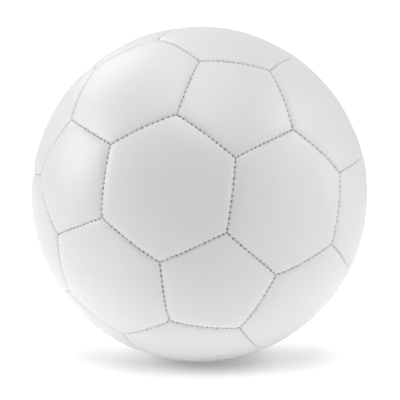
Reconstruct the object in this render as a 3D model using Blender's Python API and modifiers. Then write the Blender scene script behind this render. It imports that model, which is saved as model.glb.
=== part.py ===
"""A stitched football: thirty-two laminated panels sewn edge to edge round a rubber bladder.

The panels lie on the faces of a truncated icosahedron blown up to a sphere, twelve pentagons among
twenty hexagons. Each has its edges turned in, where the thread joins it to its neighbours. The
ball's centre is the origin, and the empty ball_axes turns the whole ball the way it lies.
"""

import math

import bmesh
import bpy
from mathutils import Matrix, Vector

# ---- Driving dimensions, in metres ----------------------------------------------------------
BALL_DIAMETER = 0.220
PANEL_THICKNESS = 0.0026
SEAM_ALLOWANCE = 0.0028  # how far the turned-in edges reach below the laminate
TURNED_BREADTH = 0.0028  # of the edge that is turned in, across the seam
CREASE_DEPTH = 0.0013  # at the seam, below the crown of the panels
CREASE_REACH = 0.0036  # from the seam to where a panel is at full height
CREASE_STEP = 0.0012  # from the seam to the ring of points half way up the crease
THREAD_THICKNESS = 0.0006
BLADDER_WALL = 0.0010
PATCH_RADIUS = 0.0170
PATCH_THICKNESS = 0.0007
VALVE_SEAT_RADIUS = 0.0140  # of the flange that is bonded to the bladder
VALVE_NECK_RADIUS = 0.0045
VALVE_BARREL_RADIUS = 0.0058
VALVE_LENGTH = 0.0200
VALVE_RECESS = 0.0005  # of the valve's outer face below the cover
CORE_HEAD_RADIUS = 0.0024
CORE_HEAD_DEPTH = 0.0014
CORE_RADIUS = 0.0018
CORE_BULB_RADIUS = 0.0029
CORE_LENGTH = 0.0150
NEEDLE_RADIUS = 0.0006
CLEARANCE = 0.0003  # between neighbouring pieces

# ---- How the ball lies ----------------------------------------------------------------------
BALL_LEAN = (math.radians(-6.37), math.radians(7.84), math.radians(9.22))
VALVE_SIDE = Vector((-0.80, 0.60, 0.15))  # the valve is in the hexagon that faces this way

# ---- How finely the round shapes are cut ----------------------------------------------------
PARTS_PER_SEAM = 3
BLADDER_STEPS = 40
BLADDER_ROWS = 20
VALVE_STEPS = 20
ARC_POINTS = 4
SHARP_ANGLE = math.radians(35)

# ---- Sizes that follow ----------------------------------------------------------------------
RADIUS = BALL_DIAMETER / 2
GOLDEN = (1 + math.sqrt(5)) / 2
UNIT_RADIUS = math.sqrt(9 * GOLDEN + 10)  # to the corners of the solid whose edges are 2
SEAM_LENGTH = 2 * RADIUS / UNIT_RADIUS
# The largest flat triangles are in the middle of a hexagon. They lie this far below the sphere,
# and the straight edges along a seam this far.
HEXAGON_PLANE = math.sqrt(RADIUS**2 - SEAM_LENGTH**2)
FACET_LENGTH = SEAM_LENGTH / PARTS_PER_SEAM * RADIUS / HEXAGON_PLANE
FACET_SAG = FACET_LENGTH**2 / (6 * RADIUS)
SEAM_SAG = (SEAM_LENGTH / PARTS_PER_SEAM) ** 2 / (8 * RADIUS)
PANEL_FLOOR = RADIUS - PANEL_THICKNESS
TURNED_END = PANEL_FLOOR - SEAM_ALLOWANCE
PATCH_OUTSIDE = PANEL_FLOOR - FACET_SAG - CLEARANCE
PATCH_INSIDE = PATCH_OUTSIDE - PATCH_THICKNESS
SEAT_OUTSIDE = PATCH_INSIDE - CLEARANCE
BLADDER_OUTSIDE = TURNED_END - SEAM_SAG - CLEARANCE
BLADDER_INSIDE = BLADDER_OUTSIDE - BLADDER_WALL
SEAT_INSIDE = BLADDER_OUTSIDE + CLEARANCE
CREASE_SLOPE = 2 * CREASE_DEPTH / CREASE_REACH
THREAD_DEPTH = (
    CREASE_DEPTH
    - (THREAD_THICKNESS - CLEARANCE) / 2 * CREASE_SLOPE
    - CLEARANCE * math.hypot(1, CREASE_SLOPE)
    - THREAD_THICKNESS / 2
)

# ---- Materials: colour, roughness, metallic --------------------------------------------------
FINISHES = {
    "white_cover": ((0.86, 0.86, 0.87, 1), 0.42, 0),
    "white_thread": ((0.80, 0.80, 0.79, 1), 0.75, 0),
    "bladder_rubber": ((0.03, 0.03, 0.03, 1), 0.60, 0),
    "valve_rubber": ((0.05, 0.05, 0.05, 1), 0.50, 0),
    "core_rubber": ((0.45, 0.43, 0.40, 1), 0.55, 0),
    "patch_fabric": ((0.55, 0.53, 0.48, 1), 0.90, 0),
}


PANEL_NAMES = {5: "pentagon_panel", 6: "hexagon_panel"}


def clear_scene():
    for obj in list(bpy.data.objects):
        bpy.data.objects.remove(obj, do_unlink=True)


def make_collection(name):
    collection = bpy.data.collections.new(name)
    bpy.context.scene.collection.children.link(collection)
    return collection


def make_materials():
    materials = {}
    for name, (colour, roughness, metallic) in FINISHES.items():
        material = bpy.data.materials.new(name)
        material.use_nodes = True
        shader = material.node_tree.nodes["Principled BSDF"]
        shader.inputs["Base Color"].default_value = colour
        shader.inputs["Roughness"].default_value = roughness
        shader.inputs["Metallic"].default_value = metallic
        materials[name] = material
    return materials


def add_object(name, mesh, collection, parent):
    obj = bpy.data.objects.new(name, mesh)
    collection.objects.link(obj)
    obj.parent = parent
    return obj


# ---- The seam pattern ------------------------------------------------------------------------
def seam_corners():
    """The sixty corners where three panels meet, on the sphere of the ball's radius."""
    families = ((1, 0, 3 * GOLDEN), (2 + GOLDEN, 1, 2 * GOLDEN), (2, GOLDEN, 2 * GOLDEN + 1))
    corners = set()
    for family in families:
        for turn in range(3):
            a, b, c = family[turn:] + family[:turn]
            for signs in range(8):
                x = a if signs & 1 else -a
                y = b if signs & 2 else -b
                z = c if signs & 4 else -c
                corners.add((x + 0.0, y + 0.0, z + 0.0))
    return [Vector(corner) * (RADIUS / UNIT_RADIUS) for corner in sorted(corners)]


def seam_solid():
    """The truncated icosahedron, with one face for each panel."""
    bm = bmesh.new()
    for corner in seam_corners():
        bm.verts.new(corner)
    bmesh.ops.convex_hull(bm, input=bm.verts[:])
    bmesh.ops.dissolve_limit(bm, angle_limit=math.radians(1), verts=bm.verts[:], edges=bm.edges[:])
    bmesh.ops.recalc_face_normals(bm, faces=bm.faces[:])
    bm.normal_update()
    return bm


def panel_places(bm):
    """Each panel's number of sides and its frame: origin on the surface, Z outward, X to a corner."""
    places = []
    for face in bm.faces:
        outward = face.calc_center_median().normalized()
        corner = max(face.verts, key=lambda vert: (round(vert.co.z, 6), round(vert.co.x, 6))).co
        to_corner = (corner - outward * corner.dot(outward)).normalized()
        across = outward.cross(to_corner)
        axes = Matrix((to_corner, across, outward)).transposed().to_4x4()
        places.append((len(face.verts), Matrix.Translation(outward * RADIUS) @ axes))
    places.sort(key=from_top_down)
    return places


def from_top_down(place):
    """Sorts pentagons before hexagons, each kind from the top of the ball down and then round it."""
    sides, frame = place
    centre = frame.translation
    turn = math.atan2(centre.y, centre.x) % (2 * math.pi)
    return (sides, -round(centre.z, 5), round(turn, 5))


# ---- Panels ------------------------------------------------------------------------------------
def crease_drop(distance):
    """How far the cover lies below its crown, at a distance from the seam."""
    rise = max(0.0, 1 - distance / CREASE_REACH)
    return CREASE_DEPTH * rise * rise


def distance_to_rim(point, sides, apothem):
    """From a point of the flat blank to the nearest of its sides."""
    along = math.atan2(point.y, point.x) % (2 * math.pi / sides) - math.pi / sides
    return apothem - math.hypot(point.x, point.y) * math.cos(along)


def flat_blank(sides, corner_radius):
    """A regular polygon cut into triangles, with a band along its rim for the turned-in edge."""
    bm = bmesh.new()
    bmesh.ops.create_circle(bm, cap_ends=True, segments=sides, radius=corner_radius)
    first = max(bm.verts, key=lambda vert: vert.co.x + vert.co.y / 1000)
    turn = -math.atan2(first.co.y, first.co.x)
    bmesh.ops.rotate(bm, verts=bm.verts[:], matrix=Matrix.Rotation(turn, 3, "Z"))
    bmesh.ops.poke(bm, faces=bm.faces[:])
    bmesh.ops.subdivide_edges(bm, edges=bm.edges[:], cuts=PARTS_PER_SEAM - 1, use_grid_fill=True)
    bmesh.ops.inset_region(
        bm, faces=bm.faces[:], thickness=TURNED_BREADTH, use_boundary=True, use_even_offset=True
    )
    return bm


def thicken_blank(bm, sides, apothem):
    """Gives the blank its top, the deep rim of its turned-in edge and the hollow behind its middle."""
    below = PANEL_THICKNESS + SEAM_ALLOWANCE
    made = bmesh.ops.extrude_face_region(bm, geom=bm.faces[:])["geom"]
    under = [item for item in made if isinstance(item, bmesh.types.BMVert)]
    bmesh.ops.translate(bm, verts=under, vec=(0, 0, -below))
    middle = [
        face
        for face in bm.faces
        if all(
            vert.co.z < -below / 2
            and distance_to_rim(vert.co, sides, apothem) > TURNED_BREADTH * 0.9
            for vert in face.verts
        )
    ]
    made = bmesh.ops.extrude_face_region(bm, geom=middle)["geom"]
    ceiling = [item for item in made if isinstance(item, bmesh.types.BMVert)]
    bmesh.ops.translate(bm, verts=ceiling, vec=(0, 0, SEAM_ALLOWANCE))
    bmesh.ops.delete(bm, geom=middle, context="FACES")
    top = [face for face in bm.faces if all(vert.co.z > -CLEARANCE for vert in face.verts)]
    bmesh.ops.inset_region(
        bm, faces=top, thickness=CREASE_STEP, use_boundary=True, use_even_offset=True
    )


def wrap_blank(bm, sides, apothem, plane_distance):
    """Bends the flat blank round the ball. Straight lines of the blank become great circles."""
    for vert in bm.verts:
        flat = vert.co.copy()
        depth = -flat.z
        if depth < CLEARANCE:
            depth = crease_drop(distance_to_rim(flat, sides, apothem))
        outward = Vector((flat.x, flat.y, plane_distance)).normalized()
        vert.co = outward * (RADIUS - depth) - Vector((0, 0, RADIUS))


def panel_mesh(name, sides, material):
    corner_radius = SEAM_LENGTH / (2 * math.sin(math.pi / sides))
    plane_distance = math.sqrt(RADIUS**2 - corner_radius**2)
    apothem = corner_radius * math.cos(math.pi / sides) - CLEARANCE / 2
    bm = flat_blank(sides, apothem / math.cos(math.pi / sides))
    thicken_blank(bm, sides, apothem)
    wrap_blank(bm, sides, apothem, plane_distance)
    bmesh.ops.recalc_face_normals(bm, faces=bm.faces[:])
    mesh = bpy.data.meshes.new(name)
    bm.to_mesh(mesh)
    bm.free()
    mesh.materials.append(material)
    mesh.shade_smooth()
    mesh.set_sharp_from_angle(angle=SHARP_ANGLE)
    return mesh


def add_valve_hole(panel, cutters, parent):
    """Cuts the hole that the valve's neck stands in."""
    bm = bmesh.new()
    radius = VALVE_NECK_RADIUS + CLEARANCE
    depth = 4 * PANEL_THICKNESS
    bmesh.ops.create_cone(
        bm, cap_ends=True, segments=VALVE_STEPS, radius1=radius, radius2=radius, depth=depth
    )
    mesh = bpy.data.meshes.new("valve_hole")
    bm.to_mesh(mesh)
    bm.free()
    cutter = add_object("valve_hole", mesh, cutters, parent)
    cutter.matrix_basis = panel.matrix_basis.copy()
    cutter.hide_render = True
    cutter.display_type = "WIRE"
    hole = panel.modifiers.new("valve_hole", "BOOLEAN")
    hole.operation = "DIFFERENCE"
    hole.solver = "EXACT"
    hole.object = cutter


def add_panels(places, materials, collection, cutters, axes):
    """All thirty-two panels. Returns the frame of the one that holds the valve."""
    cover = materials["white_cover"]
    meshes = {sides: panel_mesh(name, sides, cover) for sides, name in PANEL_NAMES.items()}
    lying = axes.matrix_basis.to_3x3()
    hexagons = [frame for sides, frame in places if sides == 6]
    valve_frame = max(hexagons, key=lambda frame: (lying @ frame.translation).dot(VALVE_SIDE))
    for sides, name in PANEL_NAMES.items():
        plain = [frame for count, frame in places if count == sides and frame is not valve_frame]
        for number, frame in enumerate(plain, start=1):
            panel = add_object(f"{name}_{number:02d}", meshes[sides], collection, axes)
            panel.matrix_basis = frame
    valve_panel = add_object("valve_panel", meshes[6].copy(), collection, axes)
    valve_panel.matrix_basis = valve_frame
    add_valve_hole(valve_panel, cutters, axes)
    return valve_frame


# ---- Thread --------------------------------------------------------------------------------------
def add_thread(solid, materials, collection, axes):
    """The sewing thread, as one net that lies in the creases between the panels."""
    bm = solid.copy()
    bmesh.ops.subdivide_edges(bm, edges=bm.edges[:], cuts=PARTS_PER_SEAM - 1)
    panels = bm.faces[:]
    bmesh.ops.inset_individual(
        bm, faces=panels, thickness=THREAD_THICKNESS / 2, use_even_offset=True
    )
    bmesh.ops.delete(bm, geom=panels, context="FACES")
    for vert in bm.verts:
        vert.co = vert.co.normalized() * (RADIUS - THREAD_DEPTH)
    mesh = bpy.data.meshes.new("seam_thread")
    bm.to_mesh(mesh)
    bm.free()
    mesh.materials.append(materials["white_thread"])
    thread = add_object("seam_thread", mesh, collection, axes)
    body = thread.modifiers.new("thread", "SOLIDIFY")
    body.thickness = THREAD_THICKNESS
    body.offset = 0


# ---- Turned pieces on the valve's axis -----------------------------------------------------------
def height_on(radius, out):
    """Height in a panel's frame, at a distance from its axis, of the sphere of this radius."""
    return math.sqrt(radius**2 - out**2) - RADIUS


def arc_on(radius, start, end, count=ARC_POINTS):
    """Points along the sphere of this radius, from one distance from the axis to another."""
    spread = [start + (end - start) * step / (count - 1) for step in range(count)]
    return [(out, height_on(radius, out)) for out in spread]


def add_turned(name, profile, closed, steps, material, collection, parent, frame):
    """A piece turned round its frame's Z axis from a profile of (distance from the axis, height)."""
    edges = [(place, place + 1) for place in range(len(profile) - 1)]
    if closed:
        edges.append((len(profile) - 1, 0))
    mesh = bpy.data.meshes.new(name)
    mesh.from_pydata([(out, 0, height) for out, height in profile], edges, [])
    mesh.materials.append(material)
    piece = add_object(name, mesh, collection, parent)
    piece.matrix_basis = frame
    screw = piece.modifiers.new("turned", "SCREW")
    screw.steps = steps
    screw.render_steps = steps
    screw.use_merge_vertices = True
    screw.merge_threshold = 0.00001
    screw.use_smooth_shade = True
    return piece


def add_bladder(materials, collection, axes, frame):
    """The air-tight sphere. Its hole lets the valve's barrel in."""
    rim = VALVE_BARREL_RADIUS + CLEARANCE
    first = math.asin(rim / BLADDER_OUTSIDE)
    angles = [first + (math.pi - first) * row / BLADDER_ROWS for row in range(BLADDER_ROWS + 1)]
    outside = [(BLADDER_OUTSIDE * math.sin(a), BLADDER_OUTSIDE * math.cos(a)) for a in angles[:-1]]
    outside.append((0, -BLADDER_OUTSIDE))
    inside = [(BLADDER_INSIDE * math.sin(a), BLADDER_INSIDE * math.cos(a)) for a in angles[:-1]]
    inside.append((0, -BLADDER_INSIDE))
    profile = inside[::-1] + outside
    centre = frame @ Matrix.Translation((0, 0, -RADIUS))
    material = materials["bladder_rubber"]
    add_turned("bladder", profile, False, BLADDER_STEPS, material, collection, axes, centre)


def add_valve(materials, collection, axes, frame):
    """The patch under the cover, the housing bonded to the bladder and the core that seals the needle."""
    patch_hole = VALVE_NECK_RADIUS + CLEARANCE
    patch = arc_on(PATCH_OUTSIDE, patch_hole, PATCH_RADIUS) + arc_on(
        PATCH_INSIDE, PATCH_RADIUS, patch_hole
    )
    fabric = materials["patch_fabric"]
    add_turned("valve_patch", patch, True, VALVE_STEPS, fabric, collection, axes, frame)

    face = -VALVE_RECESS
    head_seat = face - CORE_HEAD_DEPTH - CLEARANCE
    bulb_top = face - CORE_LENGTH * 0.55
    bore = CORE_RADIUS + CLEARANCE
    pocket = CORE_BULB_RADIUS + CLEARANCE
    barrel_end = face - VALVE_LENGTH
    pocket_top = bulb_top + CLEARANCE
    outer_edge = VALVE_NECK_RADIUS
    housing = [(CORE_HEAD_RADIUS + CLEARANCE, face), (outer_edge, face)]
    housing += arc_on(SEAT_OUTSIDE, VALVE_NECK_RADIUS, VALVE_SEAT_RADIUS)
    housing += arc_on(SEAT_INSIDE, VALVE_SEAT_RADIUS, VALVE_BARREL_RADIUS)
    housing += [
        (VALVE_BARREL_RADIUS, barrel_end),
        (pocket, barrel_end),
        (pocket, pocket_top),
        (bore, pocket_top + pocket - bore),
        (bore, head_seat),
        (CORE_HEAD_RADIUS + CLEARANCE, head_seat),
    ]
    rubber = materials["valve_rubber"]
    add_turned("valve_housing", housing, True, VALVE_STEPS, rubber, collection, axes, frame)

    core_end = face - CORE_LENGTH
    channel_end = core_end + CORE_HEAD_DEPTH
    head_under = face - CORE_HEAD_DEPTH
    core = [
        (0, channel_end),
        (NEEDLE_RADIUS, channel_end + NEEDLE_RADIUS),
        (NEEDLE_RADIUS, face - NEEDLE_RADIUS),
        (2 * NEEDLE_RADIUS, face),
        (CORE_HEAD_RADIUS, face),
        (CORE_HEAD_RADIUS, head_under),
        (CORE_RADIUS, head_under),
        (CORE_RADIUS, bulb_top + CORE_BULB_RADIUS - CORE_RADIUS),
        (CORE_BULB_RADIUS, bulb_top),
        (CORE_BULB_RADIUS, core_end + CORE_BULB_RADIUS / 2),
        (CORE_BULB_RADIUS / 2, core_end),
        (0, core_end),
    ]
    soft = materials["core_rubber"]
    add_turned("valve_core", core, False, VALVE_STEPS, soft, collection, axes, frame)


def build():
    clear_scene()
    parts = make_collection("football")
    cutters = make_collection("football_cutters")
    materials = make_materials()
    axes = bpy.data.objects.new("ball_axes", None)
    parts.objects.link(axes)
    axes.rotation_euler = BALL_LEAN
    bpy.context.view_layer.update()
    solid = seam_solid()
    places = panel_places(solid)
    valve_frame = add_panels(places, materials, parts, cutters, axes)
    add_thread(solid, materials, parts, axes)
    solid.free()
    add_bladder(materials, parts, axes, valve_frame)
    add_valve(materials, parts, axes, valve_frame)


build()
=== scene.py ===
"""The looks of the stitched football, in a white studio: fine cover panels, stitches and valve.

Every panel is a closed sheet of laminate. It is laid out flat as rings of points that follow the
panel's outline, shaped there by its crease, needle holes and puckers, and then wrapped round the
ball. Lengths are in metres, and the ball's centre is the origin.
"""

import math
import random

import bpy
import numpy as np
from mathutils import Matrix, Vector


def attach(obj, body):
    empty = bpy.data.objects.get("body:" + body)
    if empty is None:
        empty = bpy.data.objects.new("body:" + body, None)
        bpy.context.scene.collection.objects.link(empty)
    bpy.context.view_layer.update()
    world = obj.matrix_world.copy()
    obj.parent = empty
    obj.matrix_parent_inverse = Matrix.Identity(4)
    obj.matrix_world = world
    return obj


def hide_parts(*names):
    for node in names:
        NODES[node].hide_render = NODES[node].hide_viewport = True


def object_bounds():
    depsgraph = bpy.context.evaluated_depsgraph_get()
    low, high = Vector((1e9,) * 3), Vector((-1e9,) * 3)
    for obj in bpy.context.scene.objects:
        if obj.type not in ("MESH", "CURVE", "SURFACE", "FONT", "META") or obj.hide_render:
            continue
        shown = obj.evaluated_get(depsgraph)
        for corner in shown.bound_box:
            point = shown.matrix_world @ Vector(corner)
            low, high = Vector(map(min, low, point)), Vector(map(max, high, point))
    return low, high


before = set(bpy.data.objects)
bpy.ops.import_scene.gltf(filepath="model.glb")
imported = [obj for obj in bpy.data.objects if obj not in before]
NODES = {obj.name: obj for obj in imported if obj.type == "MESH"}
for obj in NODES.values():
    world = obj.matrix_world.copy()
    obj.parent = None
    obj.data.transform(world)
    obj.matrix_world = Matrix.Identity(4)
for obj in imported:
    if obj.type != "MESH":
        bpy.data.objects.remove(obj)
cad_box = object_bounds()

# ---- The ball, read from the frame --------------------------------------------------------------
BODY = "root"
SIDES = {"pentagon": 5, "hexagon": 6, "valve_panel": 6}


def node_points(name):
    """The corners of a CAD node's mesh, as an array."""
    mesh = NODES[name].data
    points = np.empty(len(mesh.vertices) * 3)
    mesh.vertices.foreach_get("co", points)
    return points.reshape(-1, 3)


def panel_nodes():
    """Name and number of sides of every CAD panel."""
    found = []
    for name in sorted(NODES):
        for start, sides in SIDES.items():
            if name.startswith(start):
                found.append((name, sides))
    return found


RADIUS = float(max(np.linalg.norm(node_points(name), axis=1).max() for name, _ in panel_nodes()))
GOLDEN = (1 + math.sqrt(5)) / 2
# A truncated icosahedron with edges of 2 has its corners this far from its centre.
UNIT_RADIUS = math.sqrt(9 * GOLDEN + 10)
SEAM_LENGTH = 2 * RADIUS / UNIT_RADIUS
# A panel's corners lie furthest from its axis: their cosines are within this of the smallest.
CORNER_LEAN = 0.004
# A panel's first corner is the one that lies furthest this way. Any fixed way does.
FIRST_CORNER_WAY = (0.31, 0.52, 0.8)
# Two seams whose middles are closer than this are one seam.
SAME_SEAM = 0.005

# ---- Sizes of the cover -------------------------------------------------------------------------
# The gap between two panels, the rounded edge beside it, and the wider slope into the crease.
SEAM_GAP = 0.00004
ROLL_REACH = 0.0007
ROLL_DEPTH = 0.00024
SHOULDER_REACH = 0.0023
SHOULDER_DEPTH = 0.00135
# The sheet, and its edge that is turned in.
PANEL_THICKNESS = 0.0026
TURNED_DEPTH = 0.0054
TURNED_BREADTH = 0.0028
TURNED_SIDES = (0.55, 0.7)
EDGE_ROUND = 0.0003
# The stitches on a seam, how hard each is drawn, and its needle hole on both sides of the crease.
SEAM_SEED = 4000
STITCH_COUNTS = (12, 13, 14)
STITCH_JITTER = 0.00014
STITCH_END = 0.0022
STITCH_DRAWN = (0.5, 1.15)
HOLE_OFFSET = 0.00028
HOLE_REACH = 0.00033
HOLE_DEPTH = 0.00125
HOLE_SHARPNESS = 3
# How far stitches pull the edges apart, and how they pucker the sheet between them.
PULL = 0.00018
PULL_REACH = 0.00045
PUCKER_DEPTH = 0.00013
PUCKER_REACH = 0.0026
PUCKER_END = 0.001
# Where three panels meet, their corners are pulled open. The power rounds the crease there.
CORNER_PULL = 0.00015
CORNER_REACH = 0.0008
CORNER_POWER = 3.0
TINY = 1e-6
# The unevenness of the sheet, which dies away at the crease, and the way a seam wanders.
WAVE_DEPTH = 0.00007
WAVE_LENGTHS = (0.034, 0.022, 0.015, 0.010)
WAVE_START = 0.004
WANDER = 0.00022
WANDER_REACH = 0.006

# ---- The thread, where it crosses the crease ----------------------------------------------------
THREAD_RADIUS = 0.00024
THREAD_DEPTH = 0.0024
THREAD_DIP = 0.0011
THREAD_REACH = 0.00085
THREAD_TWIST = 0.0011
THREAD_LEAN = 0.25
THREAD_TAPER = 0.8
THREAD_SIDES = 8
THREAD_STEPS = 8
THREAD_SEED_SCALE = 1e7

# ---- Painted shade in the needle holes and along the crease -------------------------------------
HOLE_PAINTED_SHADE = (0.25, 0.8)
SEAM_PAINTED_SHADE = (0.0, 0.15)
SEAM_PAINTED_SHADE_REACH = 0.00018

# ---- How finely the cover is cut ----------------------------------------------------------------
# Points per side of the rings near the crease, further in and over the broad middle, and how far
# the first two kinds of ring lie from the crease.
FINE, MIDDLE, COARSE = 162, 54, 18
FINE_INSETS = (
    *(0.0023, 0.0018, 0.00145, 0.00115, 0.0009, 0.0007),
    *(0.00052, 0.00036, 0.00022, 0.0001, 0),
)
MIDDLE_INSETS = (0.0062, 0.0049, 0.0038, 0.0030)
COARSE_STEP = 0.0024
# Near the middle, rings have fewer points while these stay closer than this many coarse steps.
MIDDLE_COUNTS = (2, 6)
MIDDLE_SPACING = 1.3

# ---- The valve's hole and the turned pieces -----------------------------------------------------
HOLE_RADIUS = 0.0048
HOLE_RIMS = (0, 0.00006, 0.00016, 0.0003, 0.0006, 0.0012)
HOLE_ROLL = 0.00035
TURN_STEPS = 96
MERGE = 0.00002
# Corners of an outline that turn by less than this stay as they are.
CORNER_COSINE = math.cos(math.radians(25))
CORNER_SHARES = (0, 0.33, 0.67, 1)
LONGEST_CUT = 0.4
RUBBER_ROUND = 0.0003
CLOTH_ROUND = 0.0002

# ---- Tones --------------------------------------------------------------------------------------
COVER_WHITE = 0.76
# The dark colour of the painted shade in the needle holes, the crease and the turned edge.
COVER_PAINTED_SHADE = 0.12

# ---- Studio -------------------------------------------------------------------------------------
FLOOR_WHITE = 0.885
FLOOR_SIZE = 3.0
FLOOR_GLOW = 0.16
# The ring's extra glow is painted light that lifts the ball's own shadow on the board.
# The ring of the board that glows more: where it comes up, where it fades, and how bright it is.
RING_INNER = (0.024, 0.060)
RING_OUTER = (0.090, 0.140)
RING_GLOW = 0.19
# The ring is wider to the sides than to the front: distances are scaled by this along each axis.
RING_SHAPE = (0.52, 1.0, 0.0)
# How bright the backdrop looks, and how much light comes from the studio's far side.
BACKDROP = 1.3
STUDIO_GLOW = 0.59
CAMERA_LENS = 128.6
CAMERA_SENSOR = 36.0
CAMERA_DISTANCE = 8.574 * RADIUS
CAMERA_ELEVATION = 7.0
CAMERA_AIM = (0.0003, 0.0, -0.0038)
LIGHT_DISTANCE = 5.0
LIGHT_POWER = 3.85
# Each soft light's name, azimuth, elevation, width as a share of its distance, and strength.
LIGHTS = (
    ("back_left", -140, 40, 0.56, 0.46),
    ("left", -90, 20, 0.62, 1.30),
    ("right", 60, 18, 0.50, 0.26),
    ("right_above", 85, 40, 0.50, 0.65),
    ("right_behind", 100, 5, 0.50, 0.38),
    ("above", 0, 88, 0.75, 0.84),
    ("front_above", 0, 60, 0.62, 0.85),
)


def smooth_step(low, high, value):
    """Rises softly from 0 at low to 1 at high."""
    share = np.clip((value - low) / (high - low), 0, 1)
    return share * share * (3 - 2 * share)


# ---- Seams and panels ---------------------------------------------------------------------------
class Seam:
    """One of the ninety seams, with the stitches that both its panels share."""

    def __init__(self, index, start):
        rng = random.Random(SEAM_SEED + index)
        self.start = start
        count = rng.choice(STITCH_COUNTS)
        step = (SEAM_LENGTH - 2 * STITCH_END) / (count - 1)
        jitter = [rng.uniform(-STITCH_JITTER, STITCH_JITTER) for _ in range(count)]
        self.places = np.array([STITCH_END + step * i + jitter[i] for i in range(count)])
        self.depths = np.array([rng.uniform(*STITCH_DRAWN) for _ in range(count)])
        self.bows = [rng.uniform(-WANDER, WANDER) for _ in range(2)]
        # How much painted shade darkens this seam's crease line.
        self.painted_shade = rng.uniform(*SEAM_PAINTED_SHADE)

    def starts_at(self, corner):
        """Whether this corner is the end that the stitches were measured from."""
        return np.linalg.norm(corner - self.start) < SEAM_LENGTH / 2

    def stitches_from(self, corner):
        """Places of the stitches as measured from one end, and how deep each is drawn."""
        if self.starts_at(corner):
            return self.places, self.depths
        return (SEAM_LENGTH - self.places)[::-1], self.depths[::-1]

    def bow_from(self, corner, share):
        """How far the seam wanders to the right of the way from its start."""
        if not self.starts_at(corner):
            share = 1 - share
        bow = self.bows[0] * np.sin(math.pi * share) + self.bows[1] * np.sin(2 * math.pi * share)
        return bow if self.starts_at(corner) else -bow


class Panel:
    """A panel's place on the ball: its axes run to a corner, across that, and outward."""

    def __init__(self, name, sides):
        self.name, self.sides = name, sides
        points = node_points(name)
        rays = points / np.linalg.norm(points, axis=1, keepdims=True)
        outward = rays.mean(axis=0)
        # Finding the corners needs the axis, and the axis is their mean, so a few rounds settle it.
        for _ in range(4):
            outward /= np.linalg.norm(outward)
            lean = rays @ outward
            outer = rays[lean < lean.min() + CORNER_LEAN]
            outward = outer.mean(axis=0)
        outward /= np.linalg.norm(outward)
        corner = outer[np.argmax(outer @ np.array(FIRST_CORNER_WAY))]
        to_corner = corner - outward * (corner @ outward)
        to_corner /= np.linalg.norm(to_corner)
        self.axes = np.array([to_corner, np.cross(outward, to_corner), outward])
        self.corner_radius = SEAM_LENGTH / (2 * math.sin(math.pi / sides))
        self.plane = math.sqrt(RADIUS**2 - self.corner_radius**2)
        self.apothem = self.corner_radius * math.cos(math.pi / sides)
        self.hole = 0.0
        if name == "valve_panel":
            self.hole = self.plane * math.tan(math.asin(HOLE_RADIUS / RADIUS))
        self.seams = []

    def corner(self, number):
        """Place in space of a corner. Side number N runs from corner N to corner N + 1."""
        turn = 2 * math.pi * number / self.sides
        east, north = self.corner_radius * math.cos(turn), self.corner_radius * math.sin(turn)
        return np.array([east, north, self.plane]) @ self.axes

    def side_axes(self, number):
        """Outward normal and direction of a side of the flat blank."""
        turn = 2 * math.pi * (number + 0.5) / self.sides
        normal = np.array([math.cos(turn), math.sin(turn)])
        return normal, np.array([-normal[1], normal[0]])

    def wrap(self, flat, depth):
        """Flat points at a depth below the ball's sphere, as points in space."""
        rays = np.column_stack([flat, np.full(len(flat), self.plane)])
        rays /= np.linalg.norm(rays, axis=1, keepdims=True)
        return (rays * (RADIUS - np.asarray(depth))[..., None]) @ self.axes


def find_seams(panels):
    """Gives each panel its seams, in the order of its sides. Neighbours share them."""
    seams = []
    for panel in panels:
        for number in range(panel.sides):
            start = panel.corner(number)
            middle = (start + panel.corner(number + 1)) / 2
            seam = next((s for s in seams if np.linalg.norm(s.middle - middle) < SAME_SEAM), None)
            if seam is None:
                seam = Seam(len(seams), start)
                seam.middle = middle
                seams.append(seam)
            panel.seams.append(seam)


# ---- The shape of the cover ---------------------------------------------------------------------
def roll(distance, reach, depth):
    """Depth of a rounded edge: a quarter of an ellipse that ends upright."""
    share = np.clip(1 - distance / reach, 0, 1)
    return depth * (1 - np.sqrt(1 - share**2))


def waves(points, seed):
    """A slow unevenness of the surface, from a few sine waves in space."""
    rng = random.Random(seed)
    total = np.zeros(len(points))
    for length in WAVE_LENGTHS:
        way = np.array([rng.gauss(0, 1) for _ in range(3)])
        way *= 2 * math.pi / (length * np.linalg.norm(way))
        total += np.sin(points @ way + rng.uniform(0, 2 * math.pi)) * length / WAVE_LENGTHS[0]
    return total


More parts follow.
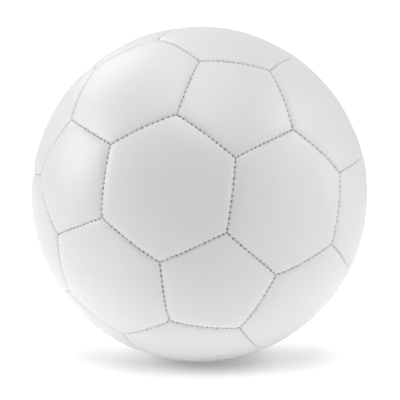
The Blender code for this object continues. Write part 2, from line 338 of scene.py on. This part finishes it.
def shape_blank(panel, flat, seed):
    """Draws flat points in at the stitches.

    Gives the drawn points, how deep they lie, and their painted shade in the needle holes and
    along the crease. For each seam, d is how far a point lies in from it, and s how far along it.
    """
    depth = np.zeros(len(flat))
    painted_shade = np.zeros(len(flat))
    moved = flat.copy()
    closeness = np.zeros(len(flat))
    for number, seam in enumerate(panel.seams):
        normal, along = panel.side_axes(number)
        corner = panel.corner(number)
        d = np.maximum(panel.apothem - flat @ normal, 0)
        s = flat @ along + SEAM_LENGTH / 2
        places, depths = seam.stitches_from(corner)
        gaps = s[:, None] - places[None, :]
        from_hole = np.hypot(gaps, (d - HOLE_OFFSET)[:, None]) / HOLE_REACH
        holes = np.exp(-(from_hole**HOLE_SHARPNESS)) @ depths
        stitch = np.interp(s, places, np.arange(len(places)))
        inside = smooth_step(-PUCKER_END, PUCKER_END, s)
        inside = inside * smooth_step(-PUCKER_END, PUCKER_END, SEAM_LENGTH - s)
        pucker = np.cos(2 * math.pi * stitch) * np.exp(-d / PUCKER_REACH) * inside
        depth += HOLE_DEPTH * holes + PUCKER_DEPTH * pucker
        # Painted shade: the needle holes and a thin line along the crease are marked to be
        # darkened.
        painted_shade = np.maximum(painted_shade, smooth_step(*HOLE_PAINTED_SHADE, holes))
        painted_shade = np.maximum(painted_shade, seam.painted_shade * np.exp(-((d / SEAM_PAINTED_SHADE_REACH) ** 2)))
        ends = np.minimum(np.abs(s), np.abs(SEAM_LENGTH - s))
        pull = PULL * (np.exp(-((gaps / PULL_REACH) ** 2)) @ depths)
        pull += CORNER_PULL * np.exp(-((ends / CORNER_REACH) ** 2)) + SEAM_GAP / 2
        moved -= normal * (pull * np.exp(-d / ROLL_REACH))[:, None]
        bow = seam.bow_from(corner, np.clip(s / SEAM_LENGTH, 0, 1))
        moved += normal * (bow * np.exp(-((d / WANDER_REACH) ** 2)))[:, None]
        closeness += 1 / (d + TINY) ** CORNER_POWER
    nearest = closeness ** (-1 / CORNER_POWER)
    shoulder = SHOULDER_DEPTH * np.exp(-nearest / SHOULDER_REACH)
    depth += roll(nearest, ROLL_REACH, ROLL_DEPTH) + shoulder
    uneven = WAVE_DEPTH * waves(panel.wrap(flat, np.zeros(len(flat))), seed)
    depth += uneven * smooth_step(0, WAVE_START, nearest)
    if panel.hole:
        depth += roll(np.linalg.norm(flat, axis=1) - panel.hole, HOLE_ROLL, HOLE_ROLL)
    return moved, depth, painted_shade


def flat_ring(panel, size, per_side, share_round=0.0):
    """Points anticlockwise along the panel's outline, shrunk to an apothem of this size.

    A share_round above 0 moves them that part of the way to a circle.
    """
    turn = 2 * math.pi * np.arange(panel.sides + 1) / panel.sides
    corners = np.stack([np.cos(turn), np.sin(turn)], axis=1)
    corners = corners * size / math.cos(math.pi / panel.sides)
    share = (np.arange(per_side) / per_side)[None, :, None]
    points = (corners[:-1, None] + (corners[1:] - corners[:-1])[:, None] * share).reshape(-1, 2)
    distance = np.linalg.norm(points, axis=1, keepdims=True)
    return points * (1 - share_round + share_round * size / distance)


def middle_rings(panel, last):
    """Apothems and points per side of the rings over the broad middle, from the inside out."""
    rings, size = [], panel.hole
    if panel.hole:
        rings = [(panel.hole + rim, COARSE) for rim in HOLE_RIMS]
        size = rings[-1][0]
    size += COARSE_STEP
    while size < last - COARSE_STEP / 2:
        side = 2 * size * math.tan(math.pi / panel.sides)
        counts = [n for n in MIDDLE_COUNTS if side / n < MIDDLE_SPACING * COARSE_STEP]
        rings.append((size, counts[0] if counts and not panel.hole else COARSE))
        size += COARSE_STEP
    return rings


class Sheet:
    """A closed surface made ring by ring, from the middle of its outside round to its inside."""

    def __init__(self):
        self.points, self.marks, self.starts, self.counts = [], [], [], []
        self.triangles, self.quads = [], []
        self.total = 0

    def add(self, points, marks):
        """Adds a ring of points with their marks of painted shade."""
        self.starts.append(self.total)
        self.counts.append(len(points))
        self.points.append(points)
        self.marks.append(marks)
        self.total += len(points)

    def bridge(self, first, second):
        """Faces between two rings whose counts are equal or differ three times."""
        a, n = self.starts[first], self.counts[first]
        b, m = self.starts[second], self.counts[second]
        i = np.arange(min(n, m))
        if n == m:
            j = (i + 1) % n
            self.quads.append(np.stack([a + i, b + i, b + j, a + j], axis=1))
        elif m == 3 * n:
            far = (i + 1) % n
            f = [b + (3 * i + step) % m for step in range(4)]
            self.triangles.append(np.stack([a + i, f[0], f[1]], axis=1))
            self.quads.append(np.stack([a + i, f[1], f[2], a + far], axis=1))
            self.triangles.append(np.stack([a + far, f[2], f[3]], axis=1))
        elif n == 3 * m:
            far = (i + 1) % m
            f = [a + (3 * i + step) % n for step in range(4)]
            self.triangles.append(np.stack([f[0], b + i, f[1]], axis=1))
            self.quads.append(np.stack([f[1], b + i, b + far, f[2]], axis=1))
            self.triangles.append(np.stack([f[2], b + far, f[3]], axis=1))
        else:
            raise ValueError(f"rings of {n} and {m} points can't be joined")

    def fan(self, ring, centre, flip):
        """Faces from a ring to the single point that closes it."""
        a, n = self.starts[ring], self.counts[ring]
        i = np.arange(n)
        j = (i + 1) % n
        c = np.full(n, self.starts[centre])
        self.triangles.append(np.stack([a + i, c, a + j] if flip else [c, a + i, a + j], axis=1))


def make_mesh(name, points, triangles, quads):
    """A smooth-shaded mesh from arrays of points and faces."""
    corners = np.concatenate([triangles.ravel(), quads.ravel()]).astype(np.int32)
    sizes = np.concatenate([np.full(len(triangles), 3), np.full(len(quads), 4)])
    starts = np.concatenate([[0], np.cumsum(sizes)[:-1]]).astype(np.int32)
    mesh = bpy.data.meshes.new(name)
    mesh.vertices.add(len(points))
    mesh.vertices.foreach_set("co", points.astype(np.float32).ravel())
    mesh.loops.add(len(corners))
    mesh.loops.foreach_set("vertex_index", corners)
    mesh.polygons.add(len(sizes))
    mesh.polygons.foreach_set("loop_start", starts)
    mesh.update(calc_edges=True)
    mesh.validate()
    mesh.shade_smooth()
    return mesh


def add_piece(name, mesh, materials, slot, *nodes):
    """Puts a mesh into the scene as a piece that stands for CAD nodes."""
    piece = bpy.data.objects.new(name, mesh)
    bpy.context.scene.collection.objects.link(piece)
    for material in materials:
        mesh.materials.append(material)
    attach(piece, BODY)
    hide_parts(*nodes)


def outer_rings(panel):
    """Flat rings of the outside from the middle out, and how many lie over the broad middle.

    They are round in the middle and become the panel's own outline towards its edge.
    """
    broad = panel.apothem - MIDDLE_INSETS[0]
    sizes = middle_rings(panel, broad)
    middle_count = len(sizes)
    sizes += [(panel.apothem - inset, MIDDLE) for inset in MIDDLE_INSETS]
    sizes += [(panel.apothem - inset, FINE) for inset in FINE_INSETS]
    fade = broad - sizes[0][0]
    flats = []
    for size, per_side in sizes:
        share_round = min(max((broad - size) / fade, 0), 1)
        if panel.hole and size <= panel.hole + HOLE_RIMS[-1]:
            share_round = 1.0
        flats.append(flat_ring(panel, size, per_side, share_round))
    return flats, middle_count


def add_panel(panel, seed, materials):
    """One panel of the cover, as a closed sheet with turned-in edges."""
    flats, middle_count = outer_rings(panel)
    if not panel.hole:
        flats.insert(0, np.zeros((1, 2)))
    moved, depth, painted_shade = shape_blank(panel, np.concatenate(flats), seed)
    points = panel.wrap(moved, depth)
    sheet = Sheet()
    place = 0
    for flat in flats:
        sheet.add(points[place : place + len(flat)], painted_shade[place : place + len(flat)])
        place += len(flat)
    rim = moved[-len(flats[-1]) :]

    def below(flat, level):
        """Adds a ring of the turned edge or the inside, marked for full painted shade."""
        sheet.add(panel.wrap(flat, np.full(len(flat), level)), np.ones(len(flat)))

    below(rim, TURNED_DEPTH * TURNED_SIDES[0])
    below(rim[:: FINE // MIDDLE], TURNED_DEPTH * TURNED_SIDES[1])
    below(rim[:: FINE // COARSE], TURNED_DEPTH - EDGE_ROUND)
    for inset, level in (
        (EDGE_ROUND, TURNED_DEPTH),
        (TURNED_BREADTH - EDGE_ROUND, TURNED_DEPTH),
        (TURNED_BREADTH, TURNED_DEPTH - EDGE_ROUND),
        (TURNED_BREADTH, PANEL_THICKNESS + EDGE_ROUND),
        (TURNED_BREADTH + EDGE_ROUND, PANEL_THICKNESS),
    ):
        below(flat_ring(panel, panel.apothem - inset, COARSE), level)
    for index in range(middle_count - 1, -1, -1):
        if panel.hole and 0 < index < len(HOLE_RIMS) - 1:
            continue
        below(flats[index if panel.hole else index + 1], PANEL_THICKNESS)
    rings = len(sheet.starts)
    for ring in range(0 if panel.hole else 1, rings - 1):
        sheet.bridge(ring, ring + 1)
    if panel.hole:
        sheet.bridge(rings - 1, 0)
    else:
        below(np.zeros((1, 2)), PANEL_THICKNESS)
        sheet.fan(1, 0, flip=False)
        sheet.fan(rings - 1, rings, flip=True)
    triangles, quads = np.concatenate(sheet.triangles), np.concatenate(sheet.quads)
    name = panel.name.replace("panel", "cover")
    mesh = make_mesh(name, np.concatenate(sheet.points), triangles, quads)
    marks = np.concatenate(sheet.marks).astype(np.float32)
    # The mark of painted shade, which darkens the needle holes, the crease line and the turned
    # edge.
    mesh.attributes.new("painted_shade", "FLOAT", "POINT").data.foreach_set("value", marks)
    # The first two rings of the turned edge still show the leather. Beyond them it is cloth.
    cloth_from = sheet.starts[len(flats) + 2]
    first = np.array([min(polygon.vertices) for polygon in mesh.polygons])
    mesh.polygons.foreach_set("material_index", (first >= cloth_from).astype(np.int32))
    add_piece(name, mesh, materials, "cover", panel.name)


# ---- Stitches -----------------------------------------------------------------------------------
def tube(path, radius, sides, taper):
    """Rings of a tube round a path, with each point's mark of the thread's lay."""
    ways = np.gradient(path, axis=0)
    ways /= np.linalg.norm(ways, axis=1, keepdims=True)
    side = np.cross(ways[0], path[0])
    side /= np.linalg.norm(side)
    turn = 2 * math.pi * np.arange(sides) / sides
    points, lay = [], []
    run = 0.0
    for step in range(len(path)):
        run += np.linalg.norm(path[step] - path[step - 1]) if step else 0
        up = np.cross(side, ways[step])
        up /= np.linalg.norm(up)
        across = np.cross(ways[step], up)
        circle = np.outer(np.cos(turn), across) + np.outer(np.sin(turn), up)
        points.append(path[step] + circle * radius * taper[step])
        twist = np.full(sides, run / THREAD_TWIST)
        lay.append(np.column_stack([np.cos(turn), np.sin(turn), twist]))
    return np.concatenate(points), np.concatenate(lay)


def add_stitches(panels, material):
    """Every short length of thread that crosses a crease, as one piece."""
    points, lays, triangles, quads = [], [], [], []
    total = 0
    share = np.linspace(-1, 1, THREAD_STEPS)
    taper = np.sqrt(np.clip(1 - np.abs(share) ** 6 * THREAD_TAPER, 0, 1))
    i = np.arange(THREAD_SIDES)
    j = (i + 1) % THREAD_SIDES
    done = set()
    for panel in panels:
        for number, seam in enumerate(panel.seams):
            if id(seam) in done:
                continue
            done.add(id(seam))
            normal, along = panel.side_axes(number)
            corner = panel.corner(number)
            places, depths = seam.stitches_from(corner)
            bows = seam.bow_from(corner, places / SEAM_LENGTH)
            for place, drawn, bow in zip(places, depths, bows):
                rng = random.Random(int(place * THREAD_SEED_SCALE))
                lean = rng.uniform(-THREAD_LEAN, THREAD_LEAN) * THREAD_REACH
                middle = normal * (panel.apothem + bow) + along * (place - SEAM_LENGTH / 2)
                flat = middle + np.outer(share, normal) * THREAD_REACH
                flat = flat + np.outer(share, along) * lean
                depth = THREAD_DEPTH + (drawn - 1) * HOLE_DEPTH * 0.5 + THREAD_DIP * share**2
                path = panel.wrap(flat, depth)
                ring_points, lay = tube(path, THREAD_RADIUS, THREAD_SIDES, taper)
                for step in range(THREAD_STEPS - 1):
                    a = total + step * THREAD_SIDES
                    b = a + THREAD_SIDES
                    quads.append(np.stack([a + i, a + j, b + j, b + i], axis=1))
                last = total + (THREAD_STEPS - 1) * THREAD_SIDES
                start_tip = np.full(THREAD_SIDES, total + len(ring_points))
                triangles.append(np.stack([start_tip, total + j, total + i], axis=1))
                triangles.append(np.stack([start_tip + 1, last + i, last + j], axis=1))
                points += [ring_points, path[:1], path[-1:]]
                lays += [lay, np.zeros((2, 3))]
                total += len(ring_points) + 2
    triangles, quads = np.concatenate(triangles), np.concatenate(quads)
    mesh = make_mesh("stitches", np.concatenate(points), triangles, quads)
    lay = mesh.attributes.new("lay", "FLOAT_VECTOR", "POINT")
    lay.data.foreach_set("vector", np.concatenate(lays).astype(np.float32).ravel())
    add_piece("stitches", mesh, [material], "thread", "seam_thread")


# ---- Materials ----------------------------------------------------------------------------------
class Shade:
    """Builds one procedural material."""

    def __init__(self, name, **sockets):
        self.material = bpy.data.materials.new(name)
        self.material.use_nodes = True
        self.tree = self.material.node_tree
        self.shader = self.tree.nodes["Principled BSDF"]
        for socket, value in sockets.items():
            self.shader.inputs[socket.replace("_", " ")].default_value = value
        self.place = self.node("ShaderNodeTexCoord").outputs["Object"]

    def node(self, kind, inputs=None, **settings):
        """Adds a node. An input is a value or another node's socket."""
        made = self.tree.nodes.new(kind)
        for key, value in settings.items():
            setattr(made, key, value)
        for key, value in (inputs or {}).items():
            if isinstance(value, bpy.types.NodeSocket):
                self.tree.links.new(value, made.inputs[key])
            else:
                made.inputs[key].default_value = value
        return made

    def noise(self, size, detail=2.0, roughness=0.5):
        """Soft noise with lumps of about this size."""
        inputs = {"Vector": self.place, "Scale": 1 / size}
        inputs.update({"Detail": detail, "Roughness": roughness})
        return self.node("ShaderNodeTexNoise", inputs).outputs["Fac"]

    def cells(self, size, smoothness=0.6):
        """Rounded grains of about this size."""
        inputs = {"Vector": self.place, "Scale": 1 / size, "Smoothness": smoothness}
        return self.node("ShaderNodeTexVoronoi", inputs, feature="SMOOTH_F1").outputs["Distance"]

    def span(self, value, low, high, from_low=0.0, from_high=1.0, kind="LINEAR"):
        """Carries a value from one range over to another. SMOOTHSTEP starts and ends softly."""
        inputs = {"Value": value, "From Min": from_low, "From Max": from_high}
        inputs.update({"To Min": low, "To Max": high})
        made = self.node("ShaderNodeMapRange", inputs, interpolation_type=kind)
        return made.outputs["Result"]

    def math(self, kind, first, second=0.0):
        """The result of a Math node."""
        return self.node("ShaderNodeMath", {0: first, 1: second}, operation=kind).outputs[0]

    def blend(self, share, first, second):
        """A colour between two, which are colours or sockets."""
        made = self.node("ShaderNodeMix", {"Factor": share}, data_type="RGBA")
        for socket, value in (("A_Color", first), ("B_Color", second)):
            target = next(s for s in made.inputs if s.identifier == socket)
            if isinstance(value, bpy.types.NodeSocket):
                self.tree.links.new(value, target)
            else:
                target.default_value = value
        return next(s for s in made.outputs if s.identifier == "Result_Color")

    def mark(self, name, output="Fac"):
        """A mark stored on the mesh's points."""
        return self.node("ShaderNodeAttribute", attribute_name=name).outputs[output]

    def bump(self, height, distance, normal=None):
        """A normal bent by a height, on top of another normal if one is given."""
        inputs = {"Height": height, "Distance": distance, "Strength": 1.0}
        if normal is not None:
            inputs["Normal"] = normal
        return self.node("ShaderNodeBump", inputs).outputs["Normal"]

    def give(self, socket, value):
        """Links a value to a socket of the shader."""
        self.tree.links.new(value, self.shader.inputs[socket])


def grey(value, warm=1.0):
    """A near-neutral colour; warm below 1 takes a little blue away."""
    return (value, value * (0.5 + warm / 2), value * warm, 1.0)


def cover_material():
    """White satin PVC leather: fine pressed grain, faintly uneven tone, painted shade in seams."""
    shade = Shade("cover_leather", Roughness=0.4, Specular_IOR_Level=0.5)
    tone = shade.noise(0.035, 3.0)
    fine_tone = shade.noise(0.004, 2.0)
    unshaded = shade.blend(tone, grey(COVER_WHITE * 0.985, 0.985), grey(COVER_WHITE * 1.015, 1.0))
    unshaded = shade.blend(shade.span(fine_tone, 0, 0.05), unshaded, grey(COVER_WHITE * 0.8, 0.97))
    painted_shade = shade.mark("painted_shade")
    # Painted shade: where the mesh is marked, the cover goes dark, in holes, crease and turned
    # edge.
    patchy = shade.math("MULTIPLY", painted_shade, shade.span(shade.noise(0.0016), 0.75, 1.1))
    shade.give("Base Color", shade.blend(patchy, unshaded, grey(COVER_PAINTED_SHADE, 0.92)))
    satin = shade.span(fine_tone, 0.35, 0.47)
    shade.give("Roughness", shade.math("ADD", satin, shade.math("MULTIPLY", painted_shade, 0.35)))
    grain = shade.bump(shade.cells(0.0009), 0.000018)
    pores = shade.bump(shade.noise(0.00035, 1.0), 0.000012, normal=grain)
    shade.give("Normal", pores)
    return shade.material


def backing_material():
    """The woven cotton backing of the laminate."""
    shade = Shade("backing_cloth", Roughness=0.9, Specular_IOR_Level=0.2, Sheen_Weight=0.2)
    yarns = {"Vector": shade.place, "Scale": 260.0}
    warp = shade.node("ShaderNodeTexWave", yarns, bands_direction="X")
    weft = shade.node("ShaderNodeTexWave", yarns, bands_direction="Z")
    weave = shade.math("MAXIMUM", warp.outputs["Fac"], weft.outputs["Fac"])
    slub = shade.noise(0.002)
    shade.give("Base Color", shade.blend(weave, grey(0.42, 0.9), grey(0.62, 0.93)))
    shade.give("Roughness", shade.span(slub, 0.8, 0.98))
    shade.give("Normal", shade.bump(weave, 0.0001))
    return shade.material


def thread_material():
    """Twisted white polyester thread, a little soiled, painted grey as the shade in its holes."""
    shade = Shade("sewing_thread", Roughness=0.65, Specular_IOR_Level=0.3, Sheen_Weight=0.25)
    lay = shade.mark("lay", "Vector")
    parts = shade.node("ShaderNodeSeparateXYZ", {"Vector": lay})
    turn = shade.math("MULTIPLY", parts.outputs["Z"], 2 * math.pi)
    east = shade.math("MULTIPLY", parts.outputs["X"], shade.math("COSINE", turn))
    north = shade.math("MULTIPLY", parts.outputs["Y"], shade.math("SINE", turn))
    ply = shade.math("ABSOLUTE", shade.math("ADD", east, north))
    soil = shade.noise(0.003)
    # Painted shade: the white thread is coloured grey, as dark as it looks deep in its holes.
    shade.give("Base Color", shade.blend(ply, grey(0.22, 0.92), grey(0.5, 0.95)))
    shade.give("Roughness", shade.span(soil, 0.55, 0.8))
    shade.give("Normal", shade.bump(ply, 0.0001))
    return shade.material


def rubber_material(name, tone, rough, bloom):
    """Moulded rubber with a matt skin, fine pitting and a pale bloom."""
    shade = Shade(name, Roughness=rough, Specular_IOR_Level=0.4)
    cloud = shade.noise(0.006, 4.0, 0.6)
    low, high = grey(tone * 0.92, 0.97), grey(tone + (1 - tone) * bloom, 0.97)
    shade.give("Base Color", shade.blend(shade.span(cloud, 0, 1, 0.35, 0.75), low, high))
    shade.give("Roughness", shade.span(cloud, rough - 0.08, rough + 0.1))
    shade.give("Normal", shade.bump(shade.noise(0.0004, 3.0), 0.00002))
    return shade.material


def floor_material():
    """Pale studio board with a trace of texture. It glows, and most in a ring round the ball."""
    shade = Shade("studio_board", Roughness=0.9, Specular_IOR_Level=0.1)
    shade.shader.inputs["Emission Color"].default_value = (1, 1, 1, 1)
    flat = shade.node("ShaderNodeVectorMath", {0: shade.place, 1: RING_SHAPE}, operation="MULTIPLY")
    away = shade.node("ShaderNodeVectorMath", {0: flat.outputs["Vector"]}, operation="LENGTH")
    away = away.outputs["Value"]
    rise = shade.span(away, 0.0, RING_GLOW, *RING_INNER, kind="SMOOTHSTEP")
    fall = shade.span(away, 1.0, 0.0, *RING_OUTER, kind="SMOOTHSTEP")
    # The ring's extra glow is painted light that lifts the ball's own shadow.
    ring = shade.math("MULTIPLY", rise, fall)
    shade.give("Emission Strength", shade.math("ADD", ring, FLOOR_GLOW))
    speck = shade.noise(0.004, 2.0)
    shade.give("Base Color", shade.blend(speck, grey(FLOOR_WHITE * 0.995), grey(FLOOR_WHITE)))
    shade.give("Roughness", shade.span(speck, 0.88, 0.95))
    return shade.material


# ---- Bladder and valve --------------------------------------------------------------------------
def outline_of(name, axis):
    """The outline that a turned CAD node was made from, and whether it closes on itself.

    It is read from the edges of one spoke, as pairs of distance from the axis and height.
    """
    points = node_points(name)
    heights = points @ axis
    spokes = points - np.outer(heights, axis)
    spans = np.linalg.norm(spokes, axis=1)
    spoke = spokes[np.argmax(spans)] / spans.max()
    on_spoke = np.linalg.norm(spokes - np.outer(spans, spoke), axis=1) < MERGE
    keys = [tuple(np.round(pair / MERGE).astype(int)) for pair in np.column_stack([spans, heights])]
    places = {key: (span, height) for key, span, height in zip(keys, spans, heights)}
    joined = {}
    for edge in NODES[name].data.edges:
        a, b = edge.vertices
        if on_spoke[a] and on_spoke[b] and keys[a] != keys[b]:
            joined.setdefault(keys[a], set()).add(keys[b])
            joined.setdefault(keys[b], set()).add(keys[a])
    ends = [key for key, others in joined.items() if len(others) == 1]
    order = [min(ends or joined, key=lambda key: places[key][1])]
    while True:
        following = [key for key in joined[order[-1]] if key not in order]
        if not following:
            break
        order.append(following[0])
    outline = np.array([places[key] for key in order])
    return outline, not ends


def softened(outline, closed, reach):
    """Rounds an outline's sharp corners."""
    result = []
    count = len(outline)
    for index in range(count):
        point = outline[index]
        if not closed and index in (0, count - 1):
            result.append(point)
            continue
        before, after = outline[index - 1] - point, outline[(index + 1) % count] - point
        first, second = np.linalg.norm(before), np.linalg.norm(after)
        if -(before @ after) / (first * second) > CORNER_COSINE:
            result.append(point)
            continue
        cut = min(reach, LONGEST_CUT * first, LONGEST_CUT * second)
        start, end = point + before / first * cut, point + after / second * cut
        for share in CORNER_SHARES:
            bend = point * 2 * share * (1 - share)
            result.append(start * (1 - share) ** 2 + bend + end * share**2)
    return np.array(result)


def add_turned(name, node, axis, reach, material, slot):
    """A finer, softer copy of a turned CAD node."""
    outline, closed = outline_of(node, axis)
    outline = softened(outline, closed, reach)
    side = np.array(Vector(axis).orthogonal().normalized())
    across = np.cross(axis, side)
    turn = 2 * math.pi * np.arange(TURN_STEPS) / TURN_STEPS
    circle = np.outer(np.cos(turn), side) + np.outer(np.sin(turn), across)
    i = np.arange(TURN_STEPS)
    j = (i + 1) % TURN_STEPS
    rings = outline if closed else outline[1:-1]
    points = [circle * span + axis * height for span, height in rings]
    # The area is negative where the outline runs the other way round, and then the faces turn.
    following = np.roll(outline, -1, axis=0)
    area = sum(a[0] * b[1] - b[0] * a[1] for a, b in zip(outline, following))
    quads, triangles = [], [np.empty((0, 3), int)]
    for ring in range(len(rings) if closed else len(rings) - 1):
        a = ring * TURN_STEPS
        b = (ring + 1) % len(rings) * TURN_STEPS
        quads.append(np.stack([a + i, a + j, b + j, b + i], axis=1))
    if not closed:
        last = (len(rings) - 1) * TURN_STEPS
        first_end = len(rings) * TURN_STEPS
        points += [axis[None] * outline[0][1], axis[None] * outline[-1][1]]
        tip = np.full(TURN_STEPS, first_end)
        triangles.append(np.stack([tip, j, i], axis=1))
        triangles.append(np.stack([last + i, last + j, tip + 1], axis=1))
    quads, triangles = np.concatenate(quads), np.concatenate(triangles)
    if area < 0:
        quads, triangles = quads[:, ::-1], triangles[:, ::-1]
    mesh = make_mesh(name, np.concatenate(points), triangles, quads)
    add_piece(name, mesh, [material], slot, node)


def add_valve(axis):
    """The bladder and the valve's pieces."""
    black = rubber_material("bladder_rubber", 0.05, 0.55, 0.08)
    dark = rubber_material("valve_rubber", 0.06, 0.5, 0.05)
    pale = rubber_material("core_rubber", 0.42, 0.45, 0.1)
    cloth = backing_material()
    add_turned("air_bladder", "bladder", axis, RUBBER_ROUND, black, "bladder_rubber")
    add_turned("valve_body", "valve_housing", axis, RUBBER_ROUND, dark, "valve_rubber")
    add_turned("valve_plug", "valve_core", axis, RUBBER_ROUND, pale, "core_rubber")
    add_turned("valve_backing", "valve_patch", axis, CLOTH_ROUND, cloth, "patch_fabric")


# ---- Studio -------------------------------------------------------------------------------------
def add_floor(level):
    """The board that the ball stands on."""
    mesh = bpy.data.meshes.new("floor")
    half = FLOOR_SIZE / 2
    corners = [(x * half, y * half, level) for x, y in ((-1, -1), (1, -1), (1, 1), (-1, 1))]
    mesh.from_pydata(corners, [], [(0, 1, 2, 3)])
    mesh.materials.append(floor_material())
    floor = bpy.data.objects.new("floor", mesh)
    bpy.context.scene.collection.objects.link(floor)


def towards(azimuth, elevation):
    """The way from the ball to a viewer: azimuth 0 is the camera's side, 90 is to its right."""
    a, e = math.radians(azimuth), math.radians(elevation)
    return Vector((math.sin(a) * math.cos(e), -math.cos(a) * math.cos(e), math.sin(e)))


def add_light(name, azimuth, elevation, width, strength):
    """A round softbox. Power grows with its distance squared: strength is what the ball gets."""
    light = bpy.data.lights.new(name, "AREA")
    light.shape = "DISK"
    light.size = width * LIGHT_DISTANCE
    light.energy = strength * LIGHT_POWER * LIGHT_DISTANCE**2
    lamp = bpy.data.objects.new(name, light)
    way = towards(azimuth, elevation)
    lamp.location = way * LIGHT_DISTANCE
    lamp.rotation_euler = way.to_track_quat("Z", "Y").to_euler()
    bpy.context.scene.collection.objects.link(lamp)


def add_world():
    """A studio whose far side gives soft light, and that looks white to the camera."""
    world = bpy.data.worlds.new("studio")
    world.use_nodes = True
    tree = world.node_tree
    light = tree.nodes["Background"]
    place = tree.nodes.new("ShaderNodeTexCoord")
    parts = tree.nodes.new("ShaderNodeSeparateXYZ")
    tree.links.new(place.outputs["Generated"], parts.inputs[0])
    strength = parts.outputs["Y"]
    for kind, number in (("MAXIMUM", 0.0), ("MULTIPLY", STUDIO_GLOW)):
        made = tree.nodes.new("ShaderNodeMath")
        made.operation = kind
        tree.links.new(strength, made.inputs[0])
        made.inputs[1].default_value = number
        strength = made.outputs[0]
    tree.links.new(strength, light.inputs["Strength"])
    light.inputs["Color"].default_value = (1, 1, 1, 1)
    backdrop = tree.nodes.new("ShaderNodeBackground")
    backdrop.inputs["Color"].default_value = (1, 1, 1, 1)
    backdrop.inputs["Strength"].default_value = BACKDROP
    rays = tree.nodes.new("ShaderNodeLightPath")
    mix = tree.nodes.new("ShaderNodeMixShader")
    tree.links.new(rays.outputs["Is Camera Ray"], mix.inputs[0])
    tree.links.new(light.outputs[0], mix.inputs[1])
    tree.links.new(backdrop.outputs[0], mix.inputs[2])
    tree.links.new(mix.outputs[0], tree.nodes["World Output"].inputs["Surface"])
    bpy.context.scene.world = world


def add_camera():
    """The camera, with its place fitted to the photo's seam corners."""
    data = bpy.data.cameras.new("camera")
    data.lens = CAMERA_LENS
    data.sensor_width = CAMERA_SENSOR
    camera = bpy.data.objects.new("camera", data)
    way = towards(0, CAMERA_ELEVATION)
    camera.location = Vector(CAMERA_AIM) + way * CAMERA_DISTANCE
    camera.rotation_euler = way.to_track_quat("Z", "Y").to_euler()
    bpy.context.scene.collection.objects.link(camera)
    bpy.context.scene.camera = camera


# ---- Making the scene ---------------------------------------------------------------------------
def build():
    """Makes every piece and the studio round them."""
    panels = [Panel(name, sides) for name, sides in panel_nodes()]
    find_seams(panels)
    materials = [cover_material(), backing_material()]
    for seed, panel in enumerate(panels):
        add_panel(panel, seed, materials)
    add_stitches(panels, thread_material())
    valve_panel = next(panel for panel in panels if panel.hole)
    add_valve(valve_panel.axes[2])
    add_floor(cad_box[0][2])
    add_world()
    for light in LIGHTS:
        add_light(*light)
    add_camera()
    bpy.context.scene.view_settings.view_transform = "Standard"


build()
